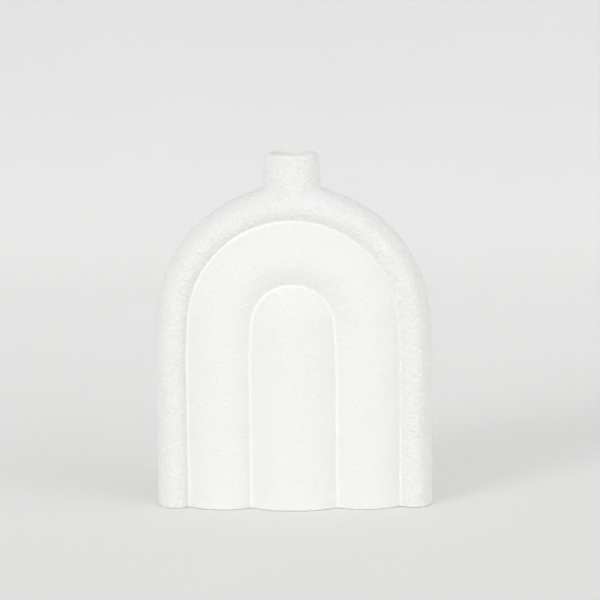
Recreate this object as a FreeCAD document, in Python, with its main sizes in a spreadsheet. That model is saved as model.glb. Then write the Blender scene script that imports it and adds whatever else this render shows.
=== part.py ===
import FreeCAD, Part
import enum
import os
import re
import Sketcher

# An arch-shaped ceramic vase with a short neck, in millimetres.
# X runs along its width, -Y is its front, +Z is up, and the origin is the middle of its foot.
# Three arches stand one inside the other. Their round tops share one centre, and each leg
# stands a little further out than its round top, which a long gentle haunch arc takes up.
# Depths are measured from the vase's middle plane, and front and back are alike. The outer
# arch is as deep as the neck's foot is wide, so the neck runs down into it front and back.

SIZES = {
    "crown_height": (129.6, "foot to the common centre of the round tops"),
    "spring_height": (98.0, "foot to the top of the straight legs"),
    "leg_spread": (1.2, "how much further out a leg stands than its round top"),
    "panel_radius": (29.1, "radius of the inner seam over the top"),
    "middle_inner_half": (19.4, "inner seam to the middle arch's crest"),
    "middle_outer_half": (24.8, "middle arch's crest to the outer seam"),
    "rim_inner_half": (9.5, "outer seam to the outer arch's crest"),
    "shoulder_radius": (9.7, "rounding from that crest towards the side"),
    "side_swell": (3.9, "how far the side bulges out past that rounding"),
    "outer_groove": (5.2, "depth of the outer seam under the outer arch's crest"),
    "middle_swell": (6.7, "how far the middle arch stands out past the outer one"),
    "inner_groove": (6.6, "depth of the inner seam under the middle arch's crest"),
    "panel_swell": (5.1, "how far the centre panel stands out past the middle arch"),
    "wall": (5.0, "clay thickness at a crest"),
    "seam_wall": (7.0, "clay thickness at a seam, front to back"),
    "base_thickness": (7.0, "bottom slab"),
    "neck_height": (24.0, "top of the outer arch to the top of the lip"),
    "mouth_radius": (14.4, "bore of the neck and hole in the outer arch"),
    "neck_wall": (4.8, "clay thickness of the neck under the lip"),
    "neck_flare": (1.0, "how much wider the neck's foot is than its top"),
    "neck_setback": (0.2, "how far the neck's foot stands back from the outer arch's crest"),
    "lip_outer_round": (2.6, "rounding of the lip's outer edge"),
    "lip_inner_round": (1.6, "rounding of the lip's inner edge"),
    "trim": (2.0, "spare clay that a cut takes off, and overrun of the cuts"),
}

# Places that several pieces share, written in the sizes above
INNER_LEG = "(panel_radius + leg_spread)"
OUTER_RADIUS = "(panel_radius + middle_inner_half + middle_outer_half)"
OUTER_LEG = f"({OUTER_RADIUS} + leg_spread)"
MIDDLE_CREST = f"({INNER_LEG} + middle_inner_half)"
RIM_CREST = f"({OUTER_LEG} + rim_inner_half)"
RIM_OUTER_HALF = "(shoulder_radius + side_swell)"
CREST_HEIGHT = f"(crown_height + {OUTER_RADIUS} + rim_inner_half)"
LIP_HEIGHT = f"({CREST_HEIGHT} + {RIM_OUTER_HALF} + neck_height)"
HAUNCH_RISE = "(crown_height - spring_height)"
HAUNCH_SETBACK = f"(({HAUNCH_RISE}^2 - leg_spread^2) / (2 * leg_spread))"
NECK_RADIUS = "(mouth_radius + neck_wall)"
RIM_DEPTH = f"({NECK_RADIUS} + neck_flare + neck_setback)"
OUTER_SEAM_DEPTH = f"({RIM_DEPTH} - outer_groove)"
MIDDLE_DEPTH = f"({RIM_DEPTH} + middle_swell)"
INNER_SEAM_DEPTH = f"({MIDDLE_DEPTH} - inner_groove)"
PANEL_DEPTH = f"({MIDDLE_DEPTH} + panel_swell)"
INNER_CAVITY_DEPTH = f"({INNER_SEAM_DEPTH} - seam_wall)"
OUTER_CAVITY_DEPTH = f"({OUTER_SEAM_DEPTH} - seam_wall)"

# The roundings of the lip may take up at most these shares of the neck's wall
LIP_OUTER_SHARE = 0.55
LIP_INNER_SHARE = 0.4

ON_AXIS = 1e-9


class Point(enum.IntEnum):
    """The points of a sketch's side, by the sketcher's numbers."""
    START = 1
    END = 2
    CENTRE = 3


class Axis(enum.IntEnum):
    """A sketch's own axes, by the sketcher's numbers."""
    HORIZONTAL = -1
    VERTICAL = -2


ORIGIN = (Axis.HORIZONTAL, Point.START)

doc = FreeCAD.newDocument("arch_vase")
sheet = doc.addObject("Spreadsheet::Sheet", "Sizes")
for row, (alias, (size, note)) in enumerate(SIZES.items(), start=1):
    sheet.set(f"A{row}", alias)
    sheet.set(f"B{row}", str(size))
    sheet.set(f"C{row}", note)
    sheet.setAlias(f"B{row}", alias)
doc.recompute()


def formula(text):
    """The expression for a text that names sizes."""
    return re.sub(r"[a-z_]+", lambda word: f"Sizes.{word.group()}" if word.group() in SIZES
                  else word.group(), str(text))


def value(text):
    """The number that a text of sizes comes to."""
    result = doc.Sizes.evalExpression(formula(text))
    return float(getattr(result, "Value", result))


def origin_plane(body, role):
    """One of the body's own origin planes."""
    return next(item for item in body.Origin.OriginFeatures if item.Role == role)


def new_sketch(body, name, role="XY_Plane", lift=None):
    """A sketch on one of the body's origin planes, or raised above it."""
    sketch = body.newObject("Sketcher::SketchObject", name)
    sketch.AttachmentSupport = [(origin_plane(body, role), "")]
    sketch.MapMode = "FlatFace"
    if lift is not None:
        sketch.setExpression("AttachmentOffset.Base.z", formula(lift))
    return sketch


def hold(sketch, geometry, point, axis, text):
    """Fix one coordinate of a point by an expression."""
    place = value(text)
    if abs(place) < ON_AXIS:
        line = Axis.VERTICAL if axis == "X" else Axis.HORIZONTAL
        sketch.addConstraint(Sketcher.Constraint("PointOnObject", geometry, point, line))
    elif place > 0:
        number = sketch.addConstraint(
            Sketcher.Constraint("Distance" + axis, *ORIGIN, geometry, point, place))
        sketch.setExpression(f"Constraints[{number}]", formula(text))
    else:
        number = sketch.addConstraint(
            Sketcher.Constraint("Distance" + axis, geometry, point, *ORIGIN, -place))
        sketch.setExpression(f"Constraints[{number}]", formula(f"-({text})"))


def arc_centre(first, last, axis, place):
    """The centre with one known coordinate that lies equally far from both ends."""
    half_sum = (last - first).dot(last + first) / 2
    chord = last - first
    if axis == "X":
        return FreeCAD.Vector(place, (half_sum - chord.x * place) / chord.y, 0)
    return FreeCAD.Vector((half_sum - chord.y * place) / chord.x, place, 0)


def draw(sketch, corners, bends, closed=True):
    """Join the corners by straight sides and arcs, all held by expressions.

    A bend is None for a straight side, or the axis and place of the arc's centre.
    """
    points = [FreeCAD.Vector(value(x), value(y), 0) for x, y in corners]
    sides = []
    for number, bend in enumerate(bends):
        first, last = points[number], points[(number + 1) % len(points)]
        if bend is None:
            side = sketch.addGeometry(Part.LineSegment(first, last))
            sides.append((side, Point.START, Point.END))
            continue
        axis, text = bend
        centre = arc_centre(first, last, axis, value(text))
        radius = first.distanceToPoint(centre)
        outward = (first + last) / 2 - centre
        middle = centre + outward.normalize() * radius
        anticlockwise = (first - centre).cross(last - centre).z > 0
        if anticlockwise:
            side = sketch.addGeometry(Part.Arc(first, middle, last))
            sides.append((side, Point.START, Point.END))
        else:
            side = sketch.addGeometry(Part.Arc(last, middle, first))
            sides.append((side, Point.END, Point.START))
    for number, (side, start, end) in enumerate(sides):
        if number + 1 < len(sides) or closed:
            following = sides[(number + 1) % len(sides)]
            sketch.addConstraint(
                Sketcher.Constraint("Coincident", side, end, following[0], following[1]))
        x, y = corners[number]
        hold(sketch, side, start, "X", x)
        hold(sketch, side, start, "Y", y)
        if bends[number] is not None:
            hold(sketch, side, Point.CENTRE, *bends[number])
    if not closed:
        x, y = corners[-1]
        hold(sketch, sides[-1][0], sides[-1][2], "X", x)
        hold(sketch, sides[-1][0], sides[-1][2], "Y", y)
    return sketch


def rise_radius(run, rise):
    """Radius of the arc that rises by rise over run and is level at its top."""
    return f"((({run})^2 + ({rise})^2) / (2 * ({rise})))"


def arch_corners(radius, foot):
    """Corners and bends of an arch line, from its right foot over the top to its left one."""
    leg = f"({radius} + leg_spread)"
    turn_x = f"({radius} * {HAUNCH_SETBACK} / ({HAUNCH_SETBACK} + leg_spread))"
    turn_z = f"(crown_height + {radius} * {HAUNCH_RISE} / ({HAUNCH_SETBACK} + leg_spread))"
    corners = [
        (leg, foot), (leg, "spring_height"), (turn_x, turn_z),
        (f"-{turn_x}", turn_z), (f"-{leg}", "spring_height"), (f"-{leg}", foot),
    ]
    bends = [None, ("Y", "spring_height"), ("Y", "crown_height"), ("Y", "spring_height"), None]
    return corners, bends


def shoulder_turn(thickness):
    """Where the rounding of the outer arch, or of its cavity, passes into the side arc."""
    run = f"({RIM_OUTER_HALF} - {thickness})"
    radius = f"(shoulder_radius - {thickness})"
    height = f"({RIM_DEPTH} - shoulder_radius)"
    side = f"(({run}^2 + {height}^2 - {radius}^2) / (2 * side_swell))"
    reach = f"({radius} / ({side} - {radius}))"
    x = f"({RIM_CREST} + ({side} - {run}) * {reach})"
    y = f"({height} * (1 + {reach}))"
    return x, y


def middle_skin(thickness, inner_depth, outer_depth):
    """Corners of the middle arch's outside or cavity, from inner to outer seam."""
    corners = [
        (INNER_LEG, inner_depth),
        (MIDDLE_CREST, f"({MIDDLE_DEPTH} - {thickness})"),
        (OUTER_LEG, outer_depth),
    ]
    bends = [("X", MIDDLE_CREST), ("X", MIDDLE_CREST)]
    return corners, bends


def rim_skin(thickness, seam_depth):
    """Corners of the outer arch's outside or cavity, from outer seam to the middle plane."""
    corners = [
        (OUTER_LEG, seam_depth),
        (RIM_CREST, f"({RIM_DEPTH} - {thickness})"),
        shoulder_turn(thickness),
        (f"({RIM_CREST} + {RIM_OUTER_HALF} - {thickness})", "0"),
    ]
    bends = [("X", RIM_CREST), ("X", RIM_CREST), ("Y", "0")]
    return corners, bends


def wall_section(outside, cavity):
    """The closed section between a skin and its cavity, each with its corners and bends."""
    corners = outside[0] + cavity[0][::-1]
    bends = outside[1] + [None] + cavity[1][::-1] + [None]
    return corners, bends


def sweep(body, kind, section, path, name):
    """Carry a section along an arch line."""
    pipe = body.newObject(kind, name)
    pipe.Profile = section
    pipe.Spine = (path, [f"Edge{number + 1}" for number in range(path.GeometryCount)])
    return pipe


def mirror(body, feature, role, name):
    """Double a feature about one of the body's origin planes."""
    doc.recompute()
    copy = body.newObject("PartDesign::Mirrored", name)
    copy.Originals = [feature]
    copy.MirrorPlane = (origin_plane(body, role), [""])
    body.Tip = copy
    return copy


def arch_path(body, radius):
    """The arch line that a section follows, in the middle plane."""
    path = new_sketch(body, "arch_line", "XZ_Plane")
    return draw(path, *arch_corners(radius, "0"), closed=False)


def new_body(name, front=False):
    """An empty piece. A front piece is its back one turned half round."""
    body = doc.addObject("PartDesign::Body", name)
    body.Label = name
    if front:
        body.Placement = FreeCAD.Placement(
            FreeCAD.Vector(), FreeCAD.Rotation(FreeCAD.Vector(0, 0, 1), 180))
    return body


def outer_arch():
    """The rounded band that makes both sides and the shoulder, with the hole under the neck."""
    body = new_body("outer_arch")
    path = arch_path(body, OUTER_RADIUS)
    section = new_sketch(body, "half_section")
    draw(section, *wall_section(rim_skin("0", OUTER_SEAM_DEPTH),
                                rim_skin("wall", OUTER_CAVITY_DEPTH)))
    half = sweep(body, "PartDesign::AdditivePipe", section, path, "half_band")
    mirror(body, half, "XZ_Plane", "whole_band")
    mouth = new_sketch(body, "neck_hole_circle", "XY_Plane", CREST_HEIGHT)
    circle = mouth.addGeometry(Part.Circle(FreeCAD.Vector(), FreeCAD.Vector(0, 0, 1),
                                           value("mouth_radius")))
    mouth.addConstraint(Sketcher.Constraint("Coincident", circle, Point.CENTRE, *ORIGIN))
    radius = mouth.addConstraint(Sketcher.Constraint("Radius", circle, value("mouth_radius")))
    mouth.setExpression(f"Constraints[{radius}]", formula("mouth_radius"))
    hole = body.newObject("PartDesign::Pocket", "neck_hole")
    hole.Profile = mouth
    hole.Reversed = True
    hole.setExpression("Length", formula(f"{RIM_OUTER_HALF} + trim"))
    return body


def middle_arch(name, front):
    """The swelling band between the two seams."""
    body = new_body(name, front)
    path = arch_path(body, "panel_radius")
    section = new_sketch(body, "section")
    draw(section, *wall_section(middle_skin("0", INNER_SEAM_DEPTH, OUTER_SEAM_DEPTH),
                                middle_skin("wall", INNER_CAVITY_DEPTH, OUTER_CAVITY_DEPTH)))
    sweep(body, "PartDesign::AdditivePipe", section, path, "band")
    return body


def blank_skin(crest, seam_depth):
    """Crest and edge of the centre panel's outside or cavity, drawn past the seam by the trim."""
    edge = f"({INNER_LEG} + trim)"
    radius = rise_radius(INNER_LEG, f"{crest} - {seam_depth}")
    corners = [("0", crest), (edge, f"({crest} - {radius} + sqrt({radius}^2 - {edge}^2))")]
    return corners, [("X", "0")]


def centre_panel(name, front):
    """The domed panel inside the inner seam, cut to the arch line from a wider blank."""
    body = new_body(name, front)
    half = wall_section(blank_skin(PANEL_DEPTH, INNER_SEAM_DEPTH),
                        blank_skin(f"({PANEL_DEPTH} - wall)", INNER_CAVITY_DEPTH))
    section = new_sketch(body, "leg_half_section")
    draw(section, *half)
    leg = body.newObject("PartDesign::Pad", "half_leg")
    leg.Profile = section
    leg.setExpression("Length", formula("crown_height"))
    mirror(body, leg, "YZ_Plane", "whole_leg")

    profile = new_sketch(body, "dome_half_section", "XY_Plane", "crown_height")
    draw(profile, *half)
    dome = body.newObject("PartDesign::Revolution", "dome")
    dome.Profile = profile
    dome.ReferenceAxis = (profile, ["V_Axis"])
    dome.Angle = 180
    dome.Reversed = True

    outline = new_sketch(body, "arch_outline", "XZ_Plane")
    side = f"({INNER_LEG} + 2 * trim)"
    top = f"(crown_height + {side})"
    draw(outline, [(side, "-trim"), (side, top), (f"-{side}", top), (f"-{side}", "-trim")],
         [None] * 4)
    arch, bends = arch_corners("panel_radius", "-trim / 2")
    draw(outline, arch, bends + [None])
    cut = body.newObject("PartDesign::Pocket", "cut_to_arch")
    cut.Profile = outline
    cut.setExpression("Length", formula(f"{PANEL_DEPTH} + trim"))
    return body


def base_slab():
    """The flat bottom, which fills the space between the feet of the walls."""
    body = new_body("base_slab")
    middle, middle_bends = middle_skin("wall", INNER_CAVITY_DEPTH, OUTER_CAVITY_DEPTH)
    rim, rim_bends = rim_skin("wall", OUTER_CAVITY_DEPTH)
    quarter = new_sketch(body, "quarter_plan")
    draw(quarter, [("0", "0"), ("0", f"({PANEL_DEPTH} - wall)")] + middle + rim[1:],
         [None, ("X", "0")] + middle_bends + rim_bends + [None])
    plate = body.newObject("PartDesign::Pad", "quarter_plate")
    plate.Profile = quarter
    plate.setExpression("Length", formula("base_thickness"))
    doc.recompute()
    whole = body.newObject("PartDesign::MultiTransform", "whole_plate")
    whole.Originals = [plate]
    sideways = body.newObject("PartDesign::Mirrored", "left_from_right")
    sideways.MirrorPlane = (origin_plane(body, "YZ_Plane"), [""])
    through = body.newObject("PartDesign::Mirrored", "front_from_back")
    through.MirrorPlane = (origin_plane(body, "XZ_Plane"), [""])
    whole.Transformations = [sideways, through]
    body.Tip = whole
    return body


def neck():
    """The short tube with a rounded lip, its foot cut to sit on the outer arch."""
    body = new_body("neck")
    outer_round = f"min(lip_outer_round; neck_wall * {LIP_OUTER_SHARE})"
    inner_round = f"min(lip_inner_round; neck_wall * {LIP_INNER_SHARE})"
    outer_edge = f"({NECK_RADIUS} - {outer_round})"
    inner_edge = f"(mouth_radius + {inner_round})"
    section = new_sketch(body, "half_section", "XZ_Plane")
    draw(section, [
        ("mouth_radius", CREST_HEIGHT), (f"({NECK_RADIUS} + neck_flare)", CREST_HEIGHT),
        (NECK_RADIUS, f"({LIP_HEIGHT} - {outer_round})"), (outer_edge, LIP_HEIGHT),
        (inner_edge, LIP_HEIGHT), ("mouth_radius", f"({LIP_HEIGHT} - {inner_round})"),
    ], [None, None, ("X", outer_edge), None, ("X", inner_edge), None])
    tube = body.newObject("PartDesign::Revolution", "tube")
    tube.Profile = section
    tube.ReferenceAxis = (section, ["V_Axis"])
    tube.Angle = 360

    path = arch_path(body, OUTER_RADIUS)
    outside, bends = rim_skin("0", OUTER_SEAM_DEPTH)
    seat = new_sketch(body, "arch_half_section")
    draw(seat, outside + [(OUTER_LEG, "0")], bends + [None, None])
    cut = sweep(body, "PartDesign::SubtractivePipe", seat, path, "half_saddle")
    mirror(body, cut, "XZ_Plane", "saddle")
    return body


pieces = [
    outer_arch(),
    middle_arch("front_middle_arch", True),
    middle_arch("back_middle_arch", False),
    centre_panel("front_centre_panel", True),
    centre_panel("back_centre_panel", False),
    base_slab(),
    neck(),
]
doc.recompute()

for item in doc.Objects:
    if "Invalid" in item.State or "Error" in item.State:
        raise RuntimeError(f"{item.Label} failed: {item.State}")
for piece in pieces:
    shape = piece.Shape
    if shape.isNull() or not shape.isValid() or len(shape.Solids) != 1:
        raise RuntimeError(f"{piece.Label} is not one valid solid")
    box = shape.BoundBox
    print(f"{piece.Label}: {shape.Volume:.0f} mm3, x {box.XMin:.2f} to {box.XMax:.2f}, "
          f"y {box.YMin:.2f} to {box.YMax:.2f}, z {box.ZMin:.2f} to {box.ZMax:.2f}")

os.makedirs("parts", exist_ok=True)
for piece in pieces:
    piece.Shape.exportStep(f"parts/{piece.Label}.step")
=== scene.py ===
"""Arch vase in white matt stucco glaze: three arches, one inside the other, and a short tube neck.

The clay parts are drawn as sections and carried along the arch, then roughened as the glaze is.
Lengths are in metres. X runs along the vase's width, -Y is its front and +Z is up.
"""

import math
from collections import namedtuple

import bmesh
import bpy
from bpy.props import FloatProperty, FloatVectorProperty, PointerProperty
from mathutils import Matrix, Vector, noise


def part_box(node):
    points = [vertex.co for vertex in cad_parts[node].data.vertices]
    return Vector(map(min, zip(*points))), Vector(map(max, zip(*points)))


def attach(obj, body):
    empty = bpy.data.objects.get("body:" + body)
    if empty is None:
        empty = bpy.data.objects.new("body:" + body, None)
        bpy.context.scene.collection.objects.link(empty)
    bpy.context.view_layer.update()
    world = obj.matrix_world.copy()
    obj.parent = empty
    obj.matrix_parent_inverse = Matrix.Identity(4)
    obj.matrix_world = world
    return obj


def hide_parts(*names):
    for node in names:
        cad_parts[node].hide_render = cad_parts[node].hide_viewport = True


bl_info = {
    "name": "Arch Vase",
    "version": (1, 0, 0),
    "blender": (4, 5, 0),
    "location": "3D View > Sidebar > Vase",
    "description": "Models an arch vase, its stucco glaze and a plain stage",
    "category": "Object",
}

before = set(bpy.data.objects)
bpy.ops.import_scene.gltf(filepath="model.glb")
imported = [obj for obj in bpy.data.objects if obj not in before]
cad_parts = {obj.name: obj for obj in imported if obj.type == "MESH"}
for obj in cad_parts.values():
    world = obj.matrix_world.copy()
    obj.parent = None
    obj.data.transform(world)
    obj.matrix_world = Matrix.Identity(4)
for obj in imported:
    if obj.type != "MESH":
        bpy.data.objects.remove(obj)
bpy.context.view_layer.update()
PANEL_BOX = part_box("back_centre_panel")
MIDDLE_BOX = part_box("back_middle_arch")
OUTER_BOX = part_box("outer_arch")
SLAB_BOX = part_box("base_slab")
NECK_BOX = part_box("neck")

BODY = "root"
TEXTURE_LAYER = "stucco"
POOL_LAYER = "pooled_glaze"
MERGE = 1e-6
FULL_TURN = 2 * math.pi
HALF_TURN = math.pi
QUARTER_TURN = math.pi / 2
SHARP_CORNER = math.radians(50)

Circle = namedtuple("Circle", "u v radius")
Noise = namedtuple("Noise", "size detail roughness")
Lamp = namedtuple("Lamp", "name azimuth rise softness power")

# Points on the radius of a groove's rounding, on the neck's corner and round the throat
GROOVE_POINTS = 4
CORNER_POINTS = 6
THROAT_SEGMENTS = 96

# Heights of the cuts across the foot's rounded edge, as shares of its rounding
FOOT_CUTS = (0.15, 0.4, 0.7, 1.0)

# Shares of the outer arch's depth between which its top's rise to the neck fades out
COLLAR_FADE = (0.5, 1.0)

# Heights above the floor between which the push on the outer groove sets in
PUSH_HEIGHTS = (0.02, 0.08)

# Distances from a groove's middle over which pooled glaze, whose lighter colour is partly painted
# highlight, ends, and over which stucco begins
POOL_END = (0.0004, 0.0015)
STUCCO_START = (0.0004, 0.002)

# Stucco's lumps and the finer crumbs on them: shares of its height, and the crumbs' own noise
LUMP_SHARE = 0.55
CRUMB_SHARE = 0.1
CRUMBS_PER_LUMP = 2.1
CRUMB_START = Vector((7.3, 1.9, 4.1))

# Share of the stucco that stays on the lip's top
LIP_STUCCO = 0.3

# How near the neck's corner may come to the vase's front or back, as a share of its depth
CORNER_LIMIT = 0.9985

# Noises in the glaze, the clay and the paper: size of a lump, octaves, and the fine ones' share
GRAIN = Noise(0.0016, 1.0, 0.4)
DUST = Noise(0.0004, 1.0, 0.5)
GLAZE_CLOUDS = Noise(0.016, 3.0, 0.55)
GLAZE_PATCHES = Noise(0.0045, 3.0, 0.6)
GROG = Noise(0.0006, 3.0, 0.65)
CLAY_CLOUDS = Noise(0.012, 3.0, 0.5)
WIPE_MARKS = Noise(0.02, 3.0, 0.6)
PAPER_FIBRES = Noise(0.004, 3.0, 0.6)
PAPER_CLOUDS = Noise(0.25, 2.0, 0.5)

# Values of the texture layer between which the inside's smooth glaze ends
OUTSIDE_VALUES = (0.0, 0.4)

# Noise values between which thin glaze, specks of dust and grains of grog come in
THIN_VALUES = (0.72, 1.02)
SPECK_VALUES = (0.66, 0.78)
GROG_VALUES = (0.58, 0.72)

# How much the patches count beside the clouds in thin glaze, and the wipe marks beside the grog
PATCH_WEIGHT = 0.6
WIPE_WEIGHT = 0.5

# Tone of the clay's marks as a share of the clay's, and how much finer the wipes are along Y
MARK_TONE = 0.78
WIPE_SCALE = (1.0, 14.0, 1.0)

# Heights over which the wiped foot ends, and how uneven that edge is
WIPED_HEIGHTS = (0.0001, 0.0004)
WIPED_UNEVENNESS = 0.0003

# Numbers of a mix node's colour sockets, which share their names with other sockets
MIX_FACTOR, MIX_FIRST, MIX_SECOND, MIX_RESULT = 0, 6, 7, 2

# Depths behind the vase over which the paper's tone darkens to the backdrop's painted shade, and
# over which its painted glows change
BACKDROP_DEPTHS = (1.05, 1.75)
NEAR_GLOW_END = (0.7, 1.8)
FAR_GLOW_START = (0.2, 0.9)
FAR_GLOW_END = (1.1, 1.7)

# Broad far lamps, turned from the vase's front and up from the floor
LAMPS = (Lamp("Left lamp", math.radians(-36), math.radians(18.5), math.radians(26), 0.93),
         Lamp("Right lamp", math.radians(53), math.radians(14), math.radians(60), 0.86))


def length(name, description, default):
    """A size that a user may change."""
    return FloatProperty(name=name, description=description, default=default, min=0.0,
                         precision=5, unit="LENGTH", subtype="DISTANCE")


def colour(name, description, default):
    """A colour that a user may change."""
    return FloatVectorProperty(name=name, description=description, default=default, size=3,
                               min=0.0, max=1.0, subtype="COLOR")


def share(name, description, default):
    """A share from 0 to 1 that a user may change."""
    return FloatProperty(name=name, description=description, default=default, min=0.0, max=1.0,
                         subtype="FACTOR")


class VaseForm(bpy.types.PropertyGroup):
    """The sizes of the clay parts that the frame's boxes don't give"""

    leg_spread: length("Leg spread", "How much further out a leg stands than its round top", 0.0012)
    spring_height: length("Spring height", "Foot to the top of the straight legs", 0.098)
    middle_inner_half: length("Middle arch, inner half", "Inner seam to the crest", 0.0194)
    rim_inner_half: length("Outer arch, inner half", "Outer seam to the crest", 0.0095)
    shoulder_radius: length("Shoulder", "Rounding from the outer arch's crest to its side", 0.0097)
    outer_groove: length("Outer groove", "Outer seam's depth under the outer arch's crest", 0.0052)
    inner_groove: length("Inner groove", "Inner seam's depth under the middle arch's crest", 0.0066)
    wall: length("Wall", "Clay thickness at a crest", 0.005)
    seam_wall: length("Seam wall", "Clay thickness at a seam", 0.007)
    mouth_radius: length("Mouth radius", "Bore of the neck", 0.0144)
    neck_wall: length("Neck wall", "Clay thickness of the neck under its lip", 0.0048)
    neck_flare: length("Neck flare", "How much wider the neck's foot is than its top", 0.001)
    lip_outer_round: length("Lip outside", "Rounding of the lip's outer edge", 0.0038)
    lip_inner_round: length("Lip inside", "Rounding of the lip's inner edge", 0.0006)
    groove_round: length("Groove rounding", "Radius of the glaze pooled in a groove", 0.0009)
    corner_round: length("Neck corner", "Rounding between the neck's sides and the arch", 0.0012)
    collar_reach: length("Collar", "How far from the middle the arch's top starts to rise", 0.037)
    groove_push: length("Groove push", "How far the outer groove was pushed out by hand", 0.0007)
    front_blend: length("Neck blend", "How far the neck's front runs into the arch", 0.005)
    neck_overlap: length("Neck overlap", "How far the neck goes into the arch's wall", 0.001)
    foot_round: length("Foot edge", "Rounding of the foot's edge", 0.001)
    grid: length("Grid", "Spacing of the outer skin's points", 0.00085)
    inner_grid: length("Inner grid", "Spacing of the points on the walls' insides", 0.003)


class VaseGlaze(bpy.types.PropertyGroup):
    """The look of the glaze and the clay"""

    glaze: colour("Glaze", "Matt white of the outside", (0.862, 0.862, 0.854))
    thin_glaze: colour("Thin glaze", "Where the glaze is thin", (0.828, 0.823, 0.806))
    # Pooled glaze: smoother glaze run into the grooves, whose colour is also lightened as a painted
    # highlight that cancels the grooves' shade
    pooled: colour("Pooled glaze", "Where glaze has run together", (0.91, 0.91, 0.897))
    # Inside glaze: real smooth glaze, whose colour is lightened past the outside's as painted light
    # that cancels the shade inside the mouth
    inside: colour("Inside glaze", "Smooth glaze inside the mouth", (0.945, 0.945, 0.915))
    clay: colour("Bare clay", "Wiped foot", (0.74, 0.71, 0.655))
    stucco_height: length("Stucco height", "Highest lump over the deepest pit", 0.0007)
    rim_stucco_height: length("Rim stucco height", "The same on the outer arch and neck", 0.0014)
    stucco_size: length("Stucco size", "Distance between lumps", 0.0017)
    wave_height: length("Waviness", "How uneven the hand-smoothed wall is", 0.00025)
    wave_size: length("Wave size", "Distance between the wall's slow swells", 0.022)
    relief: length("Relief", "Height of the grain that is finer than the mesh", 0.0008)
    dust_relief: share("Dust relief", "Height of the dust beside the grain's", 0.06)
    thin_share: share("Thin places", "How far the thin glaze's colour shows", 0.3)
    speck_share: share("Specks", "How far the fine specks show", 0.15)
    roughness: share("Roughness", "Roughness of the glaze in the grain's pits", 0.66)
    grain_roughness: share("Grain roughness", "How much rougher the grain's lumps are", 0.16)
    pool_shine: share("Pool shine", "How much smoother pooled glaze is", 0.2)
    inside_shine: share("Inside shine", "How much smoother the inside is", 0.3)
    clay_relief: length("Clay relief", "Height of the clay's grog and wipe marks", 0.00015)
    clay_roughness: share("Clay roughness", "Roughness of the clay between its grog", 0.8)
    grog_roughness: share("Grog roughness", "How much rougher the grog is", 0.12)
    grog_share: share("Grog", "How far the grog's colour shows", 0.5)
    cloud_share: share("Clay clouds", "How far the clay's clouds show", 0.25)


class VaseStage(bpy.types.PropertyGroup):
    """The camera's place and the plain stage"""

    floor: colour("Floor", "Paper under the vase", (0.885, 0.885, 0.875))
    # Painted shade: the same paper gets a darker tone where it curves up behind the vase
    backdrop_painted_shade: colour("Backdrop", "Paper behind the vase", (0.715, 0.715, 0.715))
    fibre_share: share("Fibres", "How far the paper's fibres darken it", 0.012)
    cloud_share: share("Clouds", "How far the paper's clouds darken it", 0.03)
    # Painted light: camera-only glows that lift the paper near the vase and on its bend
    near_painted_glow: share("Near glow", "How much the paper around the vase is lifted", 0.04)
    bend_painted_glow: share("Far glow", "How much the paper's bend is lifted", 0.08)
    room_light: share("Room light", "Strength of the soft light from all sides", 0.655)
    target: FloatVectorProperty(name="Target", description="Point in the middle of the view",
                                default=(0.004816, 0.0, 0.1452), size=3, subtype="TRANSLATION")
    distance: length("Distance", "Camera to target", 2.8)
    turn: FloatProperty(name="Turn", description="Camera's turn round the vase",
                        default=math.radians(2.54), subtype="ANGLE")
    rise: FloatProperty(name="Rise", description="Camera's angle above the floor",
                        default=math.radians(8.93), subtype="ANGLE")
    roll: FloatProperty(name="Roll", description="Camera's roll",
                        default=math.radians(-0.674), subtype="ANGLE")
    lens: FloatProperty(name="Lens", description="Focal length in millimetres", default=238.79)


def smooth_step(low, high, place):
    """0 under low, 1 over high, and a smooth rise between them."""
    part = min(max((place - low) / (high - low), 0.0), 1.0)
    return part * part * (3.0 - 2.0 * part)


def crest_circle(crest_u, crest_v, run, drop):
    """The circle that is level at a crest and has dropped by drop after run."""
    radius = (run ** 2 + drop ** 2) / (2 * drop)
    return Circle(crest_u, crest_v - radius, radius)


def groove_circle(left, right, rounding):
    """The rounding that lies in the groove between two skins and touches both."""
    along_u, along_v = right.u - left.u, right.v - left.v
    gap = math.hypot(along_u, along_v)
    near, far = left.radius + rounding, right.radius + rounding
    along = (near ** 2 - far ** 2 + gap ** 2) / (2 * gap)
    across = math.sqrt(near ** 2 - along ** 2)
    return Circle(left.u + (along * along_u - across * along_v) / gap,
                  left.v + (along * along_v + across * along_u) / gap, rounding)


def angle_to(circle, u, v):
    """The angle at which a point stands, seen from a circle's middle."""
    return math.atan2(v - circle.v, u - circle.u)


def touch_angle(skin, other):
    """The angle on a skin's circle at which the other circle touches it."""
    return angle_to(skin, other.u, other.v)


def turned_over(circle):
    """The same circle on the front of the vase."""
    return Circle(circle.u, -circle.v, circle.radius)


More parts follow.
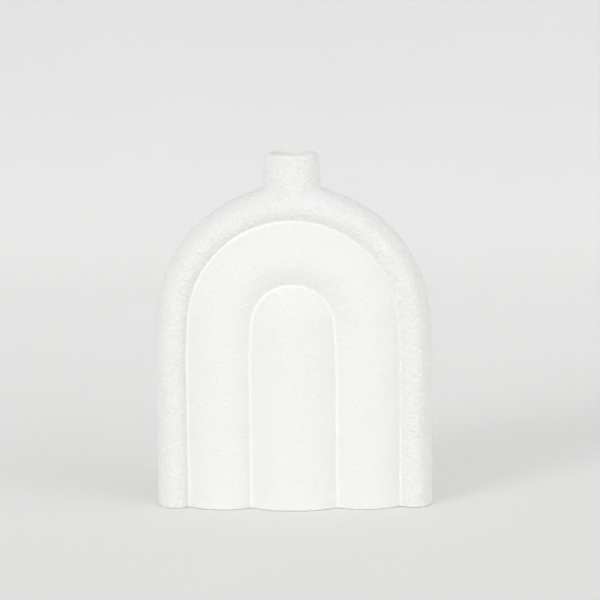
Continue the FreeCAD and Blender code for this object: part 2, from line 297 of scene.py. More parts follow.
class Shape:
    """The places that several parts share, worked out from the frame and the form's sizes.

    u is measured across the arch from its middle line, as along a leg's width, and v is the
    depth from the vase's middle plane.
    """

    def __init__(self, form):
        self.form = form
        self.fine = form.groove_round / GROOVE_POINTS  # spacing of points on that rounding
        self.spring = form.spring_height
        self.spread = form.leg_spread
        inner_leg = PANEL_BOX[1].x
        outer_leg = MIDDLE_BOX[1].x
        self.crown = PANEL_BOX[1].z - (inner_leg - self.spread)
        rise = self.crown - self.spring
        self.setback = (rise ** 2 - self.spread ** 2) / (2 * self.spread)
        self.haunch_angle = math.atan2(rise, self.setback)
        middle_crest = inner_leg + form.middle_inner_half
        self.rim_crest = outer_leg + form.rim_inner_half
        self.rim_half = OUTER_BOX[1].x - self.rim_crest
        rim_depth = OUTER_BOX[1].y
        middle_depth = MIDDLE_BOX[1].y
        panel_depth = PANEL_BOX[1].y
        outer_seam = rim_depth - form.outer_groove
        inner_seam = middle_depth - form.inner_groove
        self.inner_leg, self.outer_leg = inner_leg, outer_leg
        self.panel = crest_circle(0.0, panel_depth, inner_leg, panel_depth - inner_seam)
        self.middle_in = crest_circle(middle_crest, middle_depth, form.middle_inner_half,
                                      middle_depth - inner_seam)
        self.middle_out = crest_circle(middle_crest, middle_depth,
                                       outer_leg - middle_crest, middle_depth - outer_seam)
        self.rim_in = crest_circle(self.rim_crest, rim_depth, form.rim_inner_half,
                                   rim_depth - outer_seam)
        self.shoulder = Circle(self.rim_crest, rim_depth - form.shoulder_radius,
                               form.shoulder_radius)
        side = ((self.rim_half ** 2 + self.shoulder.v ** 2 - self.shoulder.radius ** 2)
                / (2 * (self.rim_half - self.shoulder.radius)))
        self.side = Circle(self.rim_crest + self.rim_half - side, 0.0, side)
        self.inner_groove = groove_circle(self.panel, self.middle_in, form.groove_round)
        self.outer_groove = groove_circle(self.middle_out, self.rim_in, form.groove_round)
        self.inner_seam_inside = inner_seam - form.seam_wall
        self.outer_seam_inside = outer_seam - form.seam_wall
        self.panel_inside = crest_circle(0.0, panel_depth - form.wall, inner_leg,
                                         panel_depth - form.wall - self.inner_seam_inside)
        self.middle_in_inside = crest_circle(
            middle_crest, middle_depth - form.wall, form.middle_inner_half,
            middle_depth - form.wall - self.inner_seam_inside)
        self.middle_out_inside = crest_circle(
            middle_crest, middle_depth - form.wall, outer_leg - middle_crest,
            middle_depth - form.wall - self.outer_seam_inside)
        self.rim_in_inside = crest_circle(self.rim_crest, rim_depth - form.wall,
                                          form.rim_inner_half,
                                          rim_depth - form.wall - self.outer_seam_inside)
        self.shoulder_inside = self.shoulder._replace(radius=self.shoulder.radius - form.wall)
        self.side_inside = self.side._replace(radius=self.side.radius - form.wall)
        self.crest_height = self.crown + self.rim_crest - self.spread

    def across(self, place):
        """u of a point: how far from the arch's middle line it stands."""
        x, up = abs(place.x), place.z - self.spring
        if up <= 0:
            return x
        if math.atan2(up, x + self.setback) < self.haunch_angle:
            return math.hypot(x + self.setback, up) - self.setback
        return math.hypot(x, place.z - self.crown) + self.spread

    def seam_distance(self, place):
        """How far a point is from the nearer groove, across the arch."""
        u = self.across(place)
        return min(abs(u - self.inner_groove.u), abs(u - self.outer_groove.u))

    def collar(self, x, y):
        """How much higher than its round the outer arch's top stands by the neck's foot."""
        form = self.form
        reach = OUTER_BOX[1].x - self.spread
        far = form.collar_reach
        near = min(max(abs(x), form.mouth_radius + form.neck_wall), far)
        height = math.sqrt(reach ** 2 - far ** 2)
        line = height + far * (far - near) / height
        round_top = math.sqrt(reach ** 2 - near ** 2)
        return (line - round_top) * (1.0 - smooth_step(*COLLAR_FADE, abs(y) / OUTER_BOX[1].y))

    def pushed(self, place):
        """Where a point goes when the outer groove is pushed out by hand, above the foot."""
        u = self.across(place)
        amount = self.form.groove_push * smooth_step(*PUSH_HEIGHTS, place.z)
        amount *= 1.0 - smooth_step(0.0, 1.0, abs(u - self.outer_leg) / self.form.middle_inner_half)
        up = place.z - self.spring
        if up <= 0:
            way = Vector((math.copysign(1.0, place.x), 0.0, 0.0))
        else:
            way = Vector((place.x, 0.0, max(place.z - self.crown, 0.0))).normalized()
        return place + way * amount

    def rim_skin(self, x, y, thickness=0.0):
        """Height of the outer arch's skin, or of its inside, by the neck, and the way out of it."""
        depth = abs(y)
        turn = touch_angle(self.side, self.shoulder)
        on_side = depth < (self.side.radius - thickness) * math.sin(turn)
        circle = self.side if on_side else self.shoulder
        outward = math.sqrt((circle.radius - thickness) ** 2 - (depth - circle.v) ** 2)
        reach = circle.u + outward - self.spread
        rise = math.sqrt(reach ** 2 - x ** 2)
        way_out = Vector((outward * x / reach, math.copysign(depth - circle.v, y),
                          outward * rise / reach))
        raised = self.collar(x, y) if thickness == 0.0 else 0.0
        return self.crown + rise + raised, way_out.normalized()


def whole(bm):
    """All points, edges and faces of a mesh."""
    return bm.verts[:] + bm.edges[:] + bm.faces[:]


def spin(bm, geom, steps, axis=(0, -1, 0), cent=(0, 0, 0), dvec=(0, 0, 0), angle=0.0, **options):
    """Sweep a row of points by a turn or a move, in steps, and give the last row."""
    made = bmesh.ops.spin(bm, geom=geom, steps=steps, axis=axis, cent=cent, dvec=dvec,
                          angle=angle, **options)
    return made["geom_last"]


class Pen:
    """Draws a section point by point in a new mesh, by spinning and moving its last point."""

    def __init__(self, u, v, mark=0.0):
        self.bm = bmesh.new()
        self.layer = self.bm.verts.layers.float.new(TEXTURE_LAYER)
        self.tip = self.first = self.bm.verts.new((u, v, 0.0))
        self.tip[self.layer] = mark

    def _extend(self, steps, mark, **motion):
        """Spin the last point into a chain, and mark the chain's points."""
        self.tip = spin(self.bm, [self.tip], steps, **motion)[0]
        self.bm.verts.ensure_lookup_table()
        for vert in self.bm.verts[-steps:]:
            vert[self.layer] = mark

    def turn(self, circle, angle, spacing, mark=1.0):
        """Follow a circle to an angle on it."""
        now = angle_to(circle, self.tip.co.x, self.tip.co.y)
        sweep = (angle - now + HALF_TURN) % FULL_TURN - HALF_TURN
        steps = max(1, math.ceil(abs(sweep) * circle.radius / spacing))
        self._extend(steps, mark, cent=(circle.u, circle.v, 0.0), axis=(0, 0, 1), angle=sweep)

    def run(self, u, v, spacing, mark=0.0):
        """Go straight to a point."""
        way = Vector((u, v, 0.0)) - self.tip.co
        steps = max(1, math.ceil(way.length / spacing))
        self._extend(steps, mark, dvec=way / steps)

    def join(self):
        """Join the last point to the first with an edge."""
        self.bm.edges.new((self.tip, self.first))

    def merge(self):
        """Merge the last point with the first, in whose place it stands."""
        bmesh.ops.remove_doubles(self.bm, verts=[self.tip, self.first], dist=MERGE)


def carry(bm, shape, panel=False):
    """Carry the section in the foot's plane up a leg and over to the middle, then mirror it."""
    form = shape.form
    leg_steps = round(shape.spring / form.grid)
    haunch_steps = round(shape.haunch_angle * (shape.setback + shape.outer_leg) / form.grid)
    crown_angle = QUARTER_TURN - shape.haunch_angle
    crown_steps = round(crown_angle * (OUTER_BOX[1].x - shape.spread) / form.grid)
    row = spin(bm, whole(bm), leg_steps, dvec=(0, 0, shape.spring / leg_steps))
    row = spin(bm, row, haunch_steps, cent=(-shape.setback, 0, shape.spring),
               angle=shape.haunch_angle)
    spin(bm, row, crown_steps, cent=(0, 0, shape.crown), angle=crown_angle)
    if panel:
        close_middle(bm, shape)
    for vert in bm.verts:
        if abs(vert.co.x) < MERGE:
            vert.co.x = 0.0
    bmesh.ops.remove_doubles(bm, verts=bm.verts, dist=MERGE)
    for cut in FOOT_CUTS:
        bmesh.ops.bisect_plane(bm, geom=whole(bm), dist=MERGE / 10,
                               plane_co=(0, 0, cut * form.foot_round), plane_no=(0, 0, 1))
    bmesh.ops.mirror(bm, geom=whole(bm), merge_dist=MERGE, axis="X")
    bmesh.ops.edgeloop_fill(bm, edges=[edge for edge in bm.edges if edge.is_boundary])
    for vert in bm.verts:
        vert.co = shape.pushed(vert.co)
    bmesh.ops.recalc_face_normals(bm, faces=bm.faces)


def close_middle(bm, shape):
    """Spread the panel's middle out evenly, so that its two halves meet on the middle plane.

    Under the round top its section stops short of that plane by the leg's spread.
    """
    reach = shape.inner_leg / 2
    for vert in bm.verts:
        up = vert.co.z - shape.spring
        if vert.co.z > shape.crown or vert.co.x > reach:
            continue
        short = shape.spread
        if up > 0:
            short = math.sqrt((shape.spread + shape.setback) ** 2 - up ** 2) - shape.setback
        vert.co.x = reach * (vert.co.x - short) / (reach - short)


def skin_normal(vert, layer):
    """The direction out of the glazed skin at the foot, leaving out the faces that aren't skin."""
    normal = Vector()
    for face in vert.link_faces:
        if all(corner[layer] > 0 for corner in face.verts):
            normal += face.normal * face.calc_area()
    return normal.normalized()


def stucco_depth(place, glaze, height):
    """How deep the glazed skin lies under its highest lumps at a point."""
    lumps = noise.noise(place / glaze.stucco_size)
    crumbs = noise.noise(place * (CRUMBS_PER_LUMP / glaze.stucco_size) + CRUMB_START)
    waves = noise.noise(place / glaze.wave_size)
    depth = (height * (0.5 - LUMP_SHARE * lumps - CRUMB_SHARE * crumbs)
             + glaze.wave_height * (0.5 - 0.5 * waves))
    return max(depth, 0.0)


def roughen(bm, shape, glaze, layer, height, cover):
    """Give the marked skin lumps and pits, as far as cover says, and round the foot's edge.

    The lumps stay inside the frame's box.
    """
    pool_layer = bm.verts.layers.float.new(POOL_LAYER)
    foot = shape.form.foot_round
    average = (height + glaze.wave_height) / 2
    bm.normal_update()
    moves = []
    for vert in [vert for vert in bm.verts if vert[layer] > 0]:
        place = vert.co
        # This mask marks the pooled glaze, and also carries its painted highlight in the grooves
        vert[pool_layer] = 1.0 - smooth_step(*POOL_END, shape.seam_distance(place))
        room = min(OUTER_BOX[1].x - abs(place.x), PANEL_BOX[1].y - abs(place.y),
                   NECK_BOX[1].z - place.z, average)
        depth = (stucco_depth(place, glaze, height) - max(room, 0.0)) * cover(vert)
        normal = vert.normal
        if place.z < foot:
            depth += foot - math.sqrt(foot ** 2 - (foot - place.z) ** 2)
            normal = skin_normal(vert, layer)
        moves.append((vert, normal * depth))
        vert[layer] = height / glaze.rim_stucco_height
    for vert, move in moves:
        vert.co -= move


def new_object(name, bm, material):
    """A mesh object of a finished bmesh, smooth but for its sharp corners."""
    bm.normal_update()
    for face in bm.faces:
        face.smooth = True
    for edge in bm.edges:
        edge.smooth = len(edge.link_faces) != 2 or edge.calc_face_angle() < SHARP_CORNER
    mesh = bpy.data.meshes.new(name)
    bm.to_mesh(mesh)
    bm.free()
    mesh.materials.append(material)
    piece = bpy.data.objects.new(name, mesh)
    bpy.context.scene.collection.objects.link(piece)
    return piece


def place_piece(piece, node):
    """Let a finished piece stand for its node and ride with the vase."""
    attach(piece, BODY)
    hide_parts(node)


def groove_cover(shape):
    """How much stucco a point has: none in the grooves, where the glaze has run smooth."""
    return lambda vert: smooth_step(*STUCCO_START, shape.seam_distance(vert.co))


def finish_swell(bm, shape, glaze, layer, side, part):
    """Turn a part that is drawn at the back to its side, roughen it and put it in its place."""
    if side == "front":
        bmesh.ops.rotate(bm, verts=bm.verts, cent=(0, 0, 0),
                         matrix=Matrix.Rotation(HALF_TURN, 3, "Z"))
    roughen(bm, shape, glaze, layer, glaze.stucco_height, groove_cover(shape))
    piece = new_object(f"{side}_{part}_glazed", bm, glaze_material(glaze))
    place_piece(piece, f"{side}_{part}")


def follow(pen, stops, front, mark=1.0):
    """Turn the pen along circles that are given for the back, each to an angle and at a spacing."""
    for circle, angle, spacing in stops:
        if front:
            circle, angle = turned_over(circle), -angle
        pen.turn(circle, angle, spacing, mark)


def half_rim(pen, shape, front):
    """The skin from the back's groove to the middle plane, or on from there to the front's."""
    grid = shape.form.grid
    touch = touch_angle(shape.rim_in, shape.outer_groove)
    turn = touch_angle(shape.side, shape.shoulder)
    if front:
        stops = ((shape.side, turn, grid), (shape.shoulder, QUARTER_TURN, grid),
                 (shape.rim_in, touch, grid), (shape.outer_groove, -QUARTER_TURN, shape.fine))
    else:
        stops = ((shape.outer_groove, touch + HALF_TURN, shape.fine),
                 (shape.rim_in, QUARTER_TURN, grid), (shape.shoulder, turn, grid),
                 (shape.side, 0.0, grid))
    follow(pen, stops, front)


def half_rim_inside(pen, shape, front, outward):
    """The outer arch's inside on one side, from the seam out to the middle plane or back in."""
    grid = shape.form.inner_grid
    turn = touch_angle(shape.side, shape.shoulder)
    if outward:
        stops = ((shape.rim_in_inside, QUARTER_TURN, grid), (shape.shoulder_inside, turn, grid),
                 (shape.side_inside, 0.0, grid))
    else:
        seam = angle_to(shape.rim_in_inside, shape.outer_leg, shape.outer_seam_inside)
        stops = ((shape.side_inside, turn, grid), (shape.shoulder_inside, QUARTER_TURN, grid),
                 (shape.rim_in_inside, seam, grid))
    follow(pen, stops, front, 0.0)


def raise_top(bm, shape, layer):
    """Let the outer arch's top rise towards the neck."""
    for vert in bm.verts:
        on_top = vert.co.z > shape.crown and shape.across(vert.co) > shape.rim_crest
        if on_top and vert[layer] > 0:
            vert.co.z += shape.collar(vert.co.x, vert.co.y)


def context_settings(context):
    """The form's shape and the glaze's settings of a scene."""
    scene = context.scene
    return Shape(scene.vase_form), scene.vase_glaze


class VASE_OT_outer_arch(bpy.types.Operator):
    """Model the outer arch, which makes both sides and the shoulder"""

    bl_idname = "vase.outer_arch"
    bl_label = "Outer Arch"
    bl_options = {"REGISTER", "UNDO"}

    def execute(self, context):
        shape, glaze = context_settings(context)
        form = shape.form
        groove = shape.outer_groove
        pen = Pen(groove.u, groove.v - groove.radius, 1.0)
        bm, layer = pen.bm, pen.layer
        half_rim(pen, shape, front=False)
        half_rim(pen, shape, front=True)
        pen.run(shape.outer_leg, -shape.outer_seam_inside, form.inner_grid)
        half_rim_inside(pen, shape, front=True, outward=True)
        half_rim_inside(pen, shape, front=False, outward=False)
        pen.run(groove.u, groove.v - groove.radius, form.inner_grid)
        pen.merge()
        carry(bm, shape)
        raise_top(bm, shape, layer)
        roughen(bm, shape, glaze, layer, glaze.rim_stucco_height, groove_cover(shape))
        piece = new_object("outer_arch_glazed", bm, glaze_material(glaze))
        cut_throat(piece, shape)
        place_piece(piece, "outer_arch")
        return {"FINISHED"}


def cut_throat(piece, shape):
    """Open the outer arch under the neck."""
    form = shape.form
    bm = bmesh.new()
    radius = form.mouth_radius + form.neck_overlap
    bmesh.ops.create_cone(bm, cap_ends=True, segments=THROAT_SEGMENTS, radius1=radius,
                          radius2=radius, depth=2 * shape.rim_half,
                          matrix=Matrix.Translation((0, 0, shape.crest_height + form.wall)))
    cutter = new_object("throat_cutter", bm, piece.data.materials[0])
    cut = piece.modifiers.new("throat", "BOOLEAN")
    cut.object = cutter
    cut.solver = "EXACT"
    depsgraph = bpy.context.evaluated_depsgraph_get()
    mesh = bpy.data.meshes.new_from_object(piece.evaluated_get(depsgraph), depsgraph=depsgraph)
    piece.modifiers.clear()
    old, piece.data = piece.data, mesh
    name = old.name
    bpy.data.meshes.remove(old)
    mesh.name = name
    bpy.data.objects.remove(cutter)


class VASE_OT_middle_arches(bpy.types.Operator):
    """Model the swelling bands between the grooves, at the front and the back"""

    bl_idname = "vase.middle_arches"
    bl_label = "Middle Arches"
    bl_options = {"REGISTER", "UNDO"}

    def execute(self, context):
        shape, glaze = context_settings(context)
        form = shape.form
        inner, outer = shape.inner_groove, shape.outer_groove
        seam = angle_to(shape.middle_in_inside, shape.inner_leg, shape.inner_seam_inside)
        for side in ("front", "back"):
            pen = Pen(inner.u, inner.v - inner.radius, 1.0)
            pen.turn(inner, touch_angle(shape.middle_in, inner) + HALF_TURN, shape.fine)
            pen.turn(shape.middle_in, QUARTER_TURN, form.grid)
            pen.turn(shape.middle_out, touch_angle(shape.middle_out, outer), form.grid)
            pen.turn(outer, -QUARTER_TURN, shape.fine)
            pen.run(shape.outer_leg, shape.outer_seam_inside, form.inner_grid)
            pen.turn(shape.middle_out_inside, QUARTER_TURN, form.inner_grid, 0.0)
            pen.turn(shape.middle_in_inside, seam, form.inner_grid, 0.0)
            pen.run(inner.u, inner.v - inner.radius, form.inner_grid)
            pen.merge()
            carry(pen.bm, shape)
            finish_swell(pen.bm, shape, glaze, pen.layer, side, "middle_arch")
        return {"FINISHED"}


class VASE_OT_centre_panels(bpy.types.Operator):
    """Model the domed panels inside the inner groove, at the front and the back"""

    bl_idname = "vase.centre_panels"
    bl_label = "Centre Panels"
    bl_options = {"REGISTER", "UNDO"}

    def execute(self, context):
        shape, glaze = context_settings(context)
        form = shape.form
        groove = shape.inner_groove
        skin, inside = shape.panel, shape.panel_inside
        start = math.acos(shape.spread / skin.radius)
        for side in ("front", "back"):
            pen = Pen(shape.spread, skin.v + skin.radius * math.sin(start), 1.0)
            pen.turn(skin, touch_angle(skin, groove), form.grid)
            pen.turn(groove, -QUARTER_TURN, shape.fine)
            pen.run(shape.inner_leg, shape.inner_seam_inside, form.inner_grid)
            pen.turn(inside, math.acos(shape.spread / inside.radius), form.inner_grid, 0.0)
            carry(pen.bm, shape, panel=True)
            finish_swell(pen.bm, shape, glaze, pen.layer, side, "centre_panel")
        return {"FINISHED"}


class VASE_OT_base_slab(bpy.types.Operator):
    """Model the flat clay bottom between the feet of the walls"""

    bl_idname = "vase.base_slab"
    bl_label = "Base Slab"
    bl_options = {"REGISTER", "UNDO"}

    def execute(self, context):
        shape, glaze = context_settings(context)
        form = shape.form
        pen = Pen(0.0, shape.panel_inside.v + shape.panel_inside.radius)
        bm = pen.bm
        inner = angle_to(shape.panel_inside, shape.inner_leg, shape.inner_seam_inside)
        pen.turn(shape.panel_inside, inner, form.grid, 0.0)
        pen.turn(shape.middle_in_inside, QUARTER_TURN, form.grid, 0.0)
        outer = angle_to(shape.middle_out_inside, shape.outer_leg, shape.outer_seam_inside)
        pen.turn(shape.middle_out_inside, outer, form.grid, 0.0)
        half_rim_inside(pen, shape, front=False, outward=True)
        for axis in "XY":
            bmesh.ops.mirror(bm, geom=whole(bm), merge_dist=MERGE, axis=axis)
        bmesh.ops.edgeloop_fill(bm, edges=bm.edges[:])
        made = bmesh.ops.extrude_face_region(bm, geom=bm.faces[:])
        top = [item for item in made["geom"] if isinstance(item, bmesh.types.BMVert)]
        bmesh.ops.translate(bm, verts=top, vec=(0, 0, SLAB_BOX[1].z))
        bmesh.ops.recalc_face_normals(bm, faces=bm.faces)
        piece = new_object("base_slab_clay", bm, clay_material(glaze))
        place_piece(piece, "base_slab")
        return {"FINISHED"}


class VASE_OT_neck(bpy.types.Operator):
    """Model the tube neck with its rounded lip, run into the arch under it"""

    bl_idname = "vase.neck"
    bl_label = "Neck"
    bl_options = {"REGISTER", "UNDO"}

    def execute(self, context):
        shape, glaze = context_settings(context)
        form = shape.form
        grid = form.grid
        top = NECK_BOX[1].z
        bore, wall = form.mouth_radius, form.mouth_radius + form.neck_wall
        inner_round = Circle(bore + form.lip_inner_round, top - form.lip_inner_round,
                             form.lip_inner_round)
        outer_round = Circle(wall - form.lip_outer_round, top - form.lip_outer_round,
                             form.lip_outer_round)
        foot = wall + form.neck_flare
        low = shape.crest_height
        pen = Pen(bore, low)
        bm, layer = pen.bm, pen.layer
        pen.run(bore, inner_round.v, grid)
        pen.turn(inner_round, QUARTER_TURN, grid / 2)
        pen.run(outer_round.u, top, grid, 1.0)
        pen.turn(outer_round, 0.0, grid / 2)
        pen.run(foot, low, grid, 1.0)
        pen.run(foot + form.corner_round, low, form.corner_round / CORNER_POINTS, 1.0)
        pen.run(foot + form.corner_round, low - form.corner_round, form.corner_round)
        pen.join()
        bmesh.ops.rotate(bm, verts=bm.verts, cent=(0, 0, 0),
                         matrix=Matrix.Rotation(QUARTER_TURN, 3, "X"))
        steps = round(FULL_TURN * wall / grid)
        spin(bm, whole(bm), steps, axis=(0, 0, 1), angle=FULL_TURN, use_merge=True)
        for vert in bm.verts:
            in_bore = math.hypot(vert.co.x, vert.co.y) < bore + MERGE
            if vert.co.z < (inner_round.v if in_bore else outer_round.v) + MERGE:
                vert.co = neck_seat(vert.co, shape, outer_round.v, inner_round.v)
        bmesh.ops.recalc_face_normals(bm, faces=bm.faces)

        def cover(vert):
            on_lip = smooth_step(bore, bore + 2 * grid, math.hypot(vert.co.x, vert.co.y))
            under_lip = smooth_step(0.0, form.lip_outer_round, top - vert.co.z)
            return on_lip * (LIP_STUCCO + (1.0 - LIP_STUCCO) * under_lip)

        roughen(bm, shape, glaze, layer, glaze.rim_stucco_height, cover)
        piece = new_object("neck_glazed", bm, glaze_material(glaze))
        place_piece(piece, "neck")
        return {"FINISHED"}


def neck_seat(place, shape, wall_top, bore_top):
    """Where a point of the straight tube comes when the tube is set on the arch.

    The wall reaches down to the arch, its corner runs out on the arch's skin, the tube's hidden
    edge goes into the arch's wall and its bore comes out on the arch's inside.
    """
    form = shape.form
    low = shape.crest_height
    foot = form.mouth_radius + form.neck_wall + form.neck_flare
    drawn = math.hypot(place.x, place.y)
    along = Vector((place.x / drawn, place.y / drawn, 0.0))

    def skin(radius, thickness=0.0):
        return shape.rim_skin(radius * along.x, radius * along.y, thickness)

    def point(radius, height):
        return radius * along + Vector((0, 0, height))

    def wall_radius(height):
        return foot - form.neck_flare * (height - low) / (wall_top - low)

    if drawn < form.mouth_radius + MERGE:
        end = skin(drawn, form.wall)[0] - form.neck_overlap / 2
        return point(drawn, end + (bore_top - end) * (place.z - low) / (bore_top - low))
    corner = skin(wall_radius(skin(foot)[0]))[0]
    corner_radius = wall_radius(corner)
    corner_size = form.corner_round + (form.front_blend - form.corner_round) * along.y ** 2
    start = corner + corner_size
    end_radius = corner_radius + corner_size
    if abs(along.y) > MERGE:
        end_radius = min(end_radius, CORNER_LIMIT * OUTER_BOX[1].y / abs(along.y))
    end, way_out = skin(end_radius)
    if drawn < foot + MERGE:
        height = wall_top + (start - wall_top) * (wall_top - place.z) / (wall_top - low)
        return point(wall_radius(height), height)
    if place.z < low - MERGE:
        return point(end_radius, end) - 2 * form.neck_overlap * way_out
    part = (drawn - foot) / form.corner_round
    return (point(wall_radius(start), start) * (1 - part) ** 2
            + point(corner_radius, corner) * 2 * part * (1 - part)
            + point(end_radius, end) * part ** 2)


class Value:
    """A node's output that stands in arithmetic and adds Math nodes."""

    def __init__(self, finish, socket):
        self.finish = finish
        self.socket = socket

    def _math(self, operation, first, second):
        return self.finish.node("ShaderNodeMath", {"operation": operation},
                                {0: first, 1: second})

    def __add__(self, other):
        return self._math("ADD", self, other)

    def __radd__(self, other):
        return self._math("ADD", other, self)

    def __sub__(self, other):
        return self._math("SUBTRACT", self, other)

    def __rsub__(self, other):
        return self._math("SUBTRACT", other, self)

    def __mul__(self, other):
        return self._math("MULTIPLY", self, other)

    def __rmul__(self, other):
        return self._math("MULTIPLY", other, self)


class Finish:
    """A material and the one way in which its nodes are added."""

    def __init__(self, name):
        self.material = bpy.data.materials.new(name)
        self.material.use_nodes = True
        self.tree = self.material.node_tree
        self.tree.nodes.clear()

    def node(self, kind, settings=None, sockets=None, output=0):
        """Add a node, set its settings, then its sockets' values and links, and give an output."""
        node = self.tree.nodes.new(kind)
        for name, setting in (settings or {}).items():
            setattr(node, name, setting)
        for name, given in (sockets or {}).items():
            if isinstance(given, Value):
                self.tree.links.new(given.socket, node.inputs[name])
            else:
                node.inputs[name].default_value = given
        return Value(self, node.outputs[output]) if node.outputs else None

    def place(self):
        """The point's place on the vase, in metres."""
        return self.node("ShaderNodeTexCoord", output="Object")

    def part(self, place, axis):
        """One of a place's three lengths."""
        return self.node("ShaderNodeSeparateXYZ", None, {"Vector": place}, axis)

    def attribute(self, name):
        """A number that the mesh carries at each point."""
        return self.node("ShaderNodeAttribute", {"attribute_name": name}, output="Fac")

    def noise(self, place, kind):
        """A noise from 0 to 1 whose lumps are about the kind's size."""
        return self.node("ShaderNodeTexNoise", None, {
            "Vector": place, "Scale": 1.0 / kind.size, "Detail": kind.detail,
            "Roughness": kind.roughness})

    def step(self, value, low, high):
        """A smooth rise from 0 at low to 1 at high."""
        return self.node("ShaderNodeMapRange", {"interpolation_type": "SMOOTHSTEP"}, {
            "Value": value, "From Min": low, "From Max": high})

    def mix(self, factor, first, second):
        """A colour between two colours."""
        sockets = {MIX_FACTOR: factor, MIX_FIRST: self._tone(first),
                   MIX_SECOND: self._tone(second)}
        return self.node("ShaderNodeMix", {"data_type": "RGBA"}, sockets, MIX_RESULT)

    def _tone(self, tone):
        return tone if isinstance(tone, Value) else (*tone, 1.0)

    def blend(self, factor, first, second):
        """A surface between two surfaces."""
        return self.node("ShaderNodeMixShader", None, {0: factor, 1: first, 2: second})

    def bump(self, height, distance, strength=1.0):
        """The surface's direction, tilted by a relief of that height."""
        return self.node("ShaderNodeBump", None, {
            "Strength": strength, "Distance": distance, "Height": height})

    def surface(self, shader):
        """Put a shader on the material, which is then finished."""
        self.node("ShaderNodeOutputMaterial", None, {"Surface": shader})
        return self.material


def glaze_material(glaze):
    """Matt white glaze with grain, thin and pooled places, a smooth inside and a wiped foot; the
    pooled places and the inside are given lighter colours, partly as painted light.
    """
    name = "Matt white glaze"
    if name in bpy.data.materials:
        return bpy.data.materials[name]
    finish = Finish(name)
    place = finish.place()
    texture = finish.attribute(TEXTURE_LAYER)
    outside = finish.step(texture, *OUTSIDE_VALUES)
    pooled = finish.attribute(POOL_LAYER)
    height = finish.part(place, "Z")
    grain = finish.noise(place, GRAIN)
    dust = finish.noise(place, DUST)
    clouds = finish.noise(place, GLAZE_CLOUDS)
    patches = finish.noise(place, GLAZE_PATCHES)
    thin = finish.step(clouds + PATCH_WEIGHT * patches, *THIN_VALUES)
    tone = finish.mix(thin * glaze.thin_share, glaze.glaze, glaze.thin_glaze)
    specks = finish.step(dust, *SPECK_VALUES)
    tone = finish.mix(specks * glaze.speck_share, tone, glaze.thin_glaze)
    # Painted highlight: pooled glaze in the grooves gets a lighter colour that cancels their shade
    tone = finish.mix(pooled, tone, glaze.pooled)
    # Painted light: the inside's smooth glaze gets a lighter colour that cancels the shade in the
    # bore
    tone = finish.mix(1.0 - outside, tone, glaze.inside)
    wiped = 1.0 - finish.step(height + WIPED_UNEVENNESS * (grain - 0.5), *WIPED_HEIGHTS)
    tone = finish.mix(wiped, tone, glaze.clay)
    rough = (glaze.roughness + glaze.grain_roughness * grain - glaze.pool_shine * pooled
             - glaze.inside_shine * (1.0 - outside))
    relief = (grain - 0.5 + glaze.dust_relief * (dust - 0.5)) * texture * (1.0 - pooled)
    return finish.surface(finish.node("ShaderNodeBsdfPrincipled", None, {
        "Base Color": tone, "Roughness": rough, "Normal": finish.bump(relief, glaze.relief),
        "IOR": 1.45, "Specular IOR Level": 0.35}))


def clay_material(glaze):
    """Bare, wiped clay with fine grog and faint wipe marks."""
    finish = Finish("Bare clay")
    place = finish.place()
    grog = finish.noise(place, GROG)
    clouds = finish.noise(place, CLAY_CLOUDS)
    drawn_out = finish.node("ShaderNodeMapping", {"vector_type": "POINT"}, {
        "Vector": place, "Scale": WIPE_SCALE})
    wipes = finish.noise(drawn_out, WIPE_MARKS)
    dark = tuple(MARK_TONE * channel for channel in glaze.clay)
    tone = finish.mix(finish.step(grog, *GROG_VALUES) * glaze.grog_share, glaze.clay, dark)
    tone = finish.mix(clouds * glaze.cloud_share, tone, dark)
    relief = grog + WIPE_WEIGHT * wipes
    return finish.surface(finish.node("ShaderNodeBsdfPrincipled", None, {
        "Base Color": tone, "Roughness": glaze.clay_roughness + glaze.grog_roughness * grog,
        "Normal": finish.bump(relief, glaze.clay_relief, strength=0.5),
        "IOR": 1.5, "Specular IOR Level": 0.3}))


def paper_material(stage):
    """Pale paper that can be looked through from behind, darker behind the vase as painted shade
    and lifted by painted glows that only the camera sees.
    """
    finish = Finish("Backdrop paper")
    place = finish.place()
    depth = finish.part(place, "Y")
    fibres = finish.noise(place, PAPER_FIBRES)
    clouds = finish.noise(place, PAPER_CLOUDS)
    # Painted shade: the paper darkens from the floor's tone to the backdrop's as it goes back and
    # up
    tone = finish.mix(finish.step(depth, *BACKDROP_DEPTHS), stage.floor, stage.backdrop_painted_shade)
    tone = finish.mix(stage.fibre_share * fibres + stage.cloud_share * clouds, tone,
                      (0.0, 0.0, 0.0))
    paper = finish.node("ShaderNodeBsdfPrincipled", None, {
        "Base Color": tone, "Roughness": 0.9, "Specular IOR Level": 0.2})
    # Painted light: an emission that only the camera sees lifts the paper near the vase and on its
    # bend
    seen = finish.node("ShaderNodeLightPath", output="Is Camera Ray")
    glow = finish.node("ShaderNodeEmission", None, {"Color": (1.0, 1.0, 1.0, 1.0)})
    near = 1.0 - finish.step(depth, *NEAR_GLOW_END)
    far = finish.step(depth, *FAR_GLOW_START) * (1.0 - finish.step(depth, *FAR_GLOW_END))
    paper = finish.blend(seen * (stage.near_painted_glow * near + stage.bend_painted_glow * far), paper, glow)
    clear = finish.node("ShaderNodeBsdfTransparent")
    behind = finish.node("ShaderNodeNewGeometry", output="Backfacing")
    return finish.surface(finish.blend(behind, paper, clear))


def sun_lamp(name, azimuth, rise, softness, power):
    """A broad far lamp in front of the vase, turned by azimuth to its right and up by rise."""
    data = bpy.data.lights.new(name, "SUN")
    data.angle = softness
    data.energy = power
    lamp = bpy.data.objects.new(name, data)
    lamp.rotation_euler = (QUARTER_TURN - rise, 0.0, azimuth)
    bpy.context.scene.collection.objects.link(lamp)


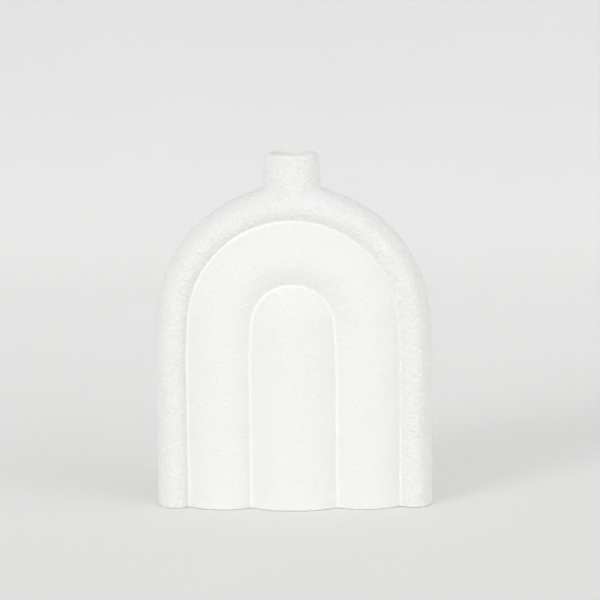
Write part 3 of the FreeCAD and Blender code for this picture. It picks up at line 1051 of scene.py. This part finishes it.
class VASE_OT_stage(bpy.types.Operator):
    """Set up the camera, the lamps and a paper sweep with painted light and shade"""

    bl_idname = "vase.stage"
    bl_label = "Stage"
    bl_options = {"REGISTER", "UNDO"}

    def execute(self, context):
        scene = context.scene
        stage = scene.vase_stage
        data = bpy.data.cameras.new("Camera")
        data.lens = stage.lens
        data.sensor_width = 36.0
        camera = bpy.data.objects.new("Camera", data)
        facing = (Matrix.Rotation(stage.turn, 4, "Z")
                  @ Matrix.Rotation(QUARTER_TURN - stage.rise, 4, "X"))
        back = facing @ Vector((0, 0, stage.distance))
        camera.matrix_world = (Matrix.Translation(Vector(stage.target) + back)
                               @ facing @ Matrix.Rotation(stage.roll, 4, "Z"))
        scene.collection.objects.link(camera)
        scene.camera = camera
        scene.view_settings.view_transform = "Standard"
        self.sweep(stage)
        self.lamps(scene, stage)
        return {"FINISHED"}

    def sweep(self, stage):
        """A paper floor that curves up behind the vase."""
        width, front, back = 8.0, 4.0, 1.0
        bend, bend_steps, upright = 0.8, 24, 3.0
        under_foot = 0.00005
        bm = bmesh.new()
        start = bm.verts.new((-width / 2, -front, -under_foot))
        row = spin(bm, [start], 1, dvec=(0, front + back, 0))
        row = spin(bm, row, bend_steps, axis=(1, 0, 0), cent=(0, back, bend), angle=QUARTER_TURN)
        spin(bm, row, 1, dvec=(0, 0, upright))
        spin(bm, whole(bm), 1, dvec=(width, 0, 0))
        bm.normal_update()
        downward = [face for face in bm.faces if face.normal.z < 0 or face.normal.y > 0]
        bmesh.ops.reverse_faces(bm, faces=downward)
        paper = new_object("paper_sweep", bm, paper_material(stage))

    def lamps(self, scene, stage):
        """Two broad lamps in front, the left one stronger, and a soft room round them."""
        for lamp in LAMPS:
            sun_lamp(*lamp)
        world = bpy.data.worlds.new("Soft room")
        world.use_nodes = True
        background = world.node_tree.nodes["Background"]
        background.inputs["Color"].default_value = (1, 1, 1, 1)
        background.inputs["Strength"].default_value = stage.room_light
        scene.world = world


class VASE_PT_sidebar(bpy.types.Panel):
    """The vase's parts and sizes"""

    bl_label = "Arch Vase"
    bl_idname = "VASE_PT_sidebar"
    bl_space_type = "VIEW_3D"
    bl_region_type = "UI"
    bl_category = "Vase"

    def draw(self, context):
        layout = self.layout
        for operator in PART_OPERATORS:
            layout.operator(operator.bl_idname)
        for group in ("vase_form", "vase_glaze", "vase_stage"):
            box = layout.box()
            settings = getattr(context.scene, group)
            for name in settings.__annotations__:
                box.prop(settings, name)


PART_OPERATORS = (VASE_OT_outer_arch, VASE_OT_middle_arches, VASE_OT_centre_panels,
                  VASE_OT_base_slab, VASE_OT_neck, VASE_OT_stage)
CLASSES = (VaseForm, VaseGlaze, VaseStage, *PART_OPERATORS, VASE_PT_sidebar)


def register():
    for item in CLASSES:
        bpy.utils.register_class(item)
    bpy.types.Scene.vase_form = PointerProperty(type=VaseForm)
    bpy.types.Scene.vase_glaze = PointerProperty(type=VaseGlaze)
    bpy.types.Scene.vase_stage = PointerProperty(type=VaseStage)


def unregister():
    del bpy.types.Scene.vase_stage
    del bpy.types.Scene.vase_glaze
    del bpy.types.Scene.vase_form
    for item in reversed(CLASSES):
        bpy.utils.unregister_class(item)


def main():
    """Make every part in order, then the stage."""
    register()
    bpy.ops.vase.outer_arch()
    bpy.ops.vase.middle_arches()
    bpy.ops.vase.centre_panels()
    bpy.ops.vase.base_slab()
    bpy.ops.vase.neck()
    bpy.ops.vase.stage()


if __name__ == "__main__":
    main()
